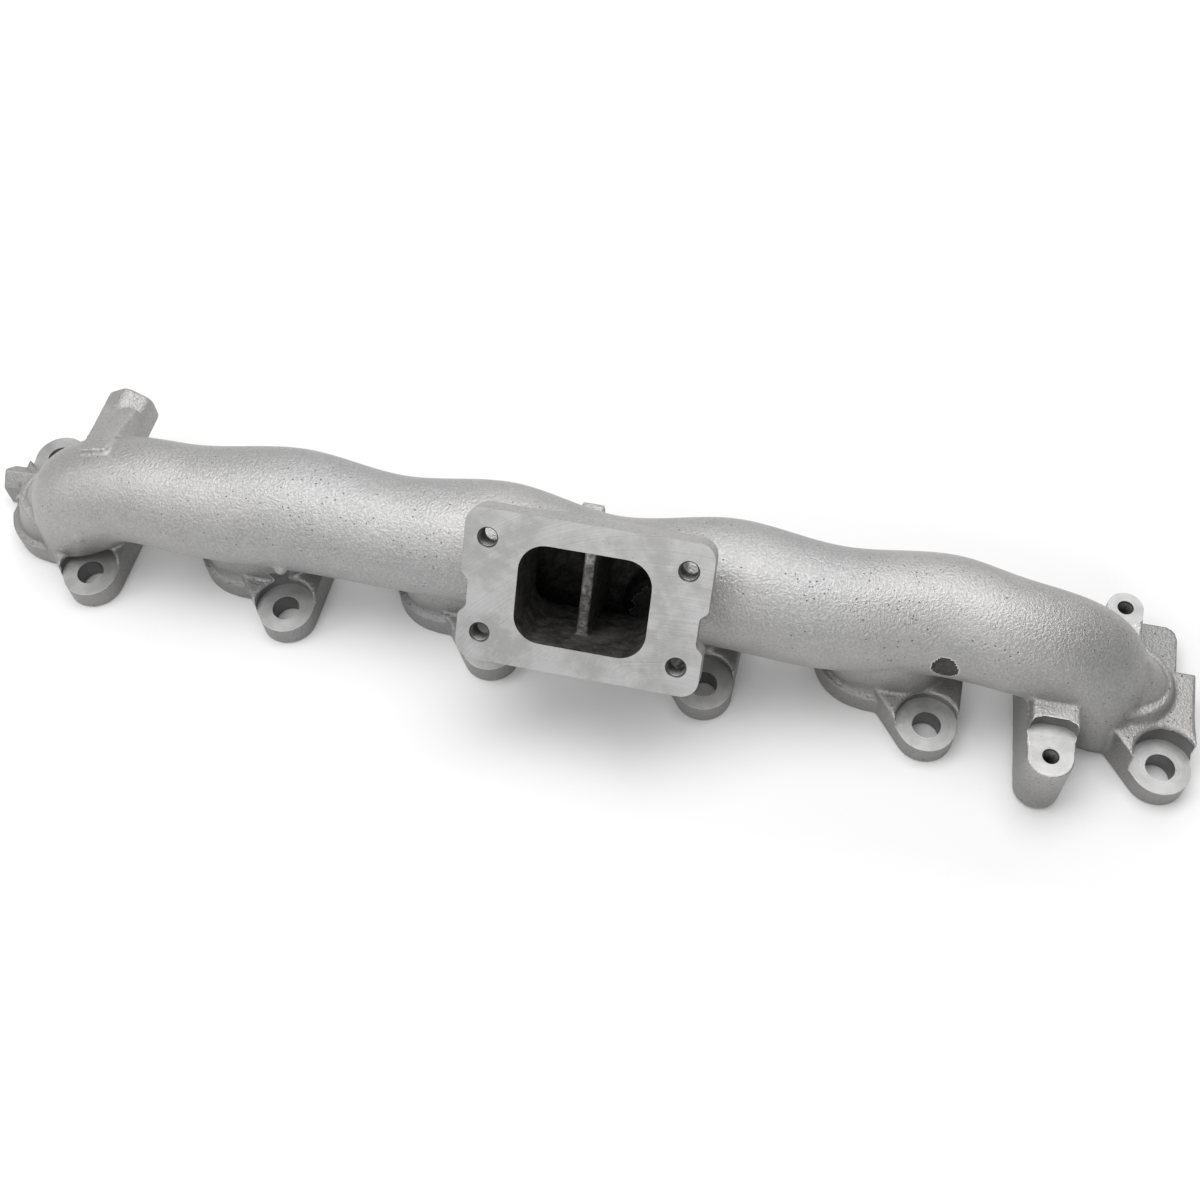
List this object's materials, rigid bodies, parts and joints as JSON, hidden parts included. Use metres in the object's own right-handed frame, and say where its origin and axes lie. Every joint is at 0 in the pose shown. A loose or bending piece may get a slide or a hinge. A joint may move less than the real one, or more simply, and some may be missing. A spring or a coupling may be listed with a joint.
{
  "type": "exhaust manifold",
  "caption": "Log-style cast iron exhaust manifold for an in-line engine: oval head flanges with bolt ears, short runners, end elbows and a tilted flange for a turbocharger",
  "frame": {"origin": "the middle of the row of six ports, on the machined face that lies on the cylinder head", "axes": "+X along the row from port 1 to port 6, +Z out of the cylinder head, +Y completes the right-handed set, so the turbocharger flange leans to -Y"},
  "size_m": [0.6916, 0.1337, 0.1268],
  "materials": {
    "cast_iron": "grit-blasted sand casting, fine orange-peel grain",
    "machined_iron": "milled face, fine swirl marks, cast edges",
    "rough_iron": "unblasted rough casting inside the gas passage"
  },
  "bodies": {
    "root": {"feeder_pad": "cast_iron", "flow_divider": "rough_iron", "front_boss": "cast_iron", "front_lug": "cast_iron", "head_flange_1": "cast_iron", "head_flange_2": "cast_iron", "head_flange_3": "cast_iron", "head_flange_4": "cast_iron", "head_flange_5": "cast_iron", "head_flange_6": "cast_iron", "log_front": "cast_iron", "log_front_elbow": "cast_iron", "log_middle": "cast_iron", "log_rear": "cast_iron", "log_rear_elbow": "cast_iron", "rear_corner_plate": "cast_iron", "rear_end_block": "cast_iron", "rear_lower_boss": "cast_iron", "rear_upper_boss": "cast_iron", "runner_1": "cast_iron", "runner_2": "cast_iron", "runner_3": "cast_iron", "runner_4": "cast_iron", "runner_5": "cast_iron", "runner_6": "cast_iron", "turbo_flange": "machined_iron", "turbo_neck": "cast_iron"}
  },
  "joints": []
}
